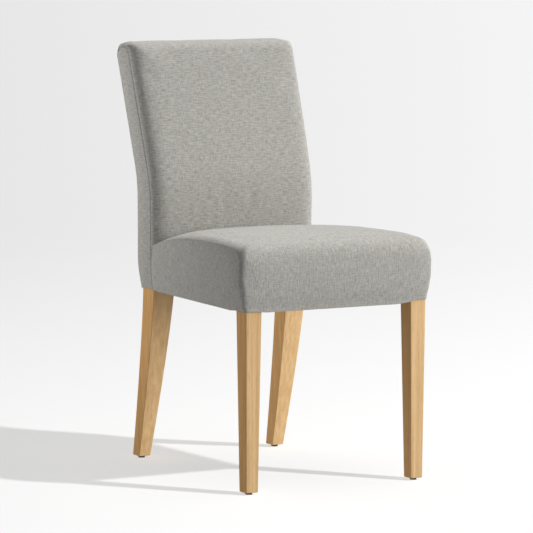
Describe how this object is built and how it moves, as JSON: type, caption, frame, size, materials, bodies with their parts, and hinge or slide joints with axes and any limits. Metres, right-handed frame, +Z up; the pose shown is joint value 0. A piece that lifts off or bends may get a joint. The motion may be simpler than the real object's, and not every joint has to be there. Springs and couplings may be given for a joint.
{
  "type": "parsons chair",
  "caption": "Armless dining chair with tapered wooden legs, raked rear posts, and a fabric cover over a padded seat and back, on a webbed hardwood frame.",
  "frame": {"origin": "on the floor under the middle of the chair's overall box", "axes": "-Y is the front that a sitter's knees point to, +X is to the right as seen from the front, +Z is up"},
  "size_m": [0.461, 0.6215, 0.9259],
  "materials": {
    "leg_oak": "clear matt lacquer",
    "frame_beech": "planed, unfinished",
    "cover_fabric": "plain weave, matt",
    "foam": "open cell foam",
    "webbing_jute": "woven strip",
    "cambric": "thin felted cloth",
    "zinc_steel": "zinc plated",
    "glide_plastic": "matt"
  },
  "bodies": {
    "root": {"front_leg_left": "leg_oak", "front_leg_right": "leg_oak", "rear_leg_left": "leg_oak", "rear_leg_right": "leg_oak", "glide_front_left": "glide_plastic", "glide_front_right": "glide_plastic", "glide_rear_left": "glide_plastic", "glide_rear_right": "glide_plastic", "front_seat_rail": "frame_beech", "rear_seat_rail": "frame_beech", "side_seat_rail_left": "frame_beech", "side_seat_rail_right": "frame_beech", "corner_block_front_left": "frame_beech", "corner_block_front_right": "frame_beech", "corner_block_rear_left": "frame_beech", "corner_block_rear_right": "frame_beech", "top_rail": "frame_beech", "lower_back_rail": "frame_beech", "leg_bolt_front_left": "zinc_steel", "leg_bolt_front_right": "zinc_steel", "leg_bolt_rear_left": "zinc_steel", "leg_bolt_rear_right": "zinc_steel", "block_screw_front_left_end": "zinc_steel", "block_screw_front_left_side": "zinc_steel", "block_screw_front_right_end": "zinc_steel", "block_screw_front_right_side": "zinc_steel", "block_screw_rear_left_end": "zinc_steel", "block_screw_rear_left_side": "zinc_steel", "block_screw_rear_right_end": "zinc_steel", "block_screw_rear_right_side": "zinc_steel", "seat_webbing_along_1": "webbing_jute", "seat_webbing_along_2": "webbing_jute", "seat_webbing_along_3": "webbing_jute", "seat_webbing_along_4": "webbing_jute", "seat_webbing_across_1": "webbing_jute", "seat_webbing_across_2": "webbing_jute", "seat_webbing_across_3": "webbing_jute", "seat_webbing_across_4": "webbing_jute", "back_webbing_1": "webbing_jute", "back_webbing_2": "webbing_jute", "back_webbing_3": "webbing_jute", "back_webbing_4": "webbing_jute", "seat_foam": "foam", "back_foam": "foam", "seat_cover": "cover_fabric", "seat_side_panel_left": "cover_fabric", "seat_side_panel_right": "cover_fabric", "inside_back_cover": "cover_fabric", "outside_back_cover": "cover_fabric", "back_side_panel_left": "cover_fabric", "back_side_panel_right": "cover_fabric", "dust_cover": "cambric"}
  },
  "joints": []
}
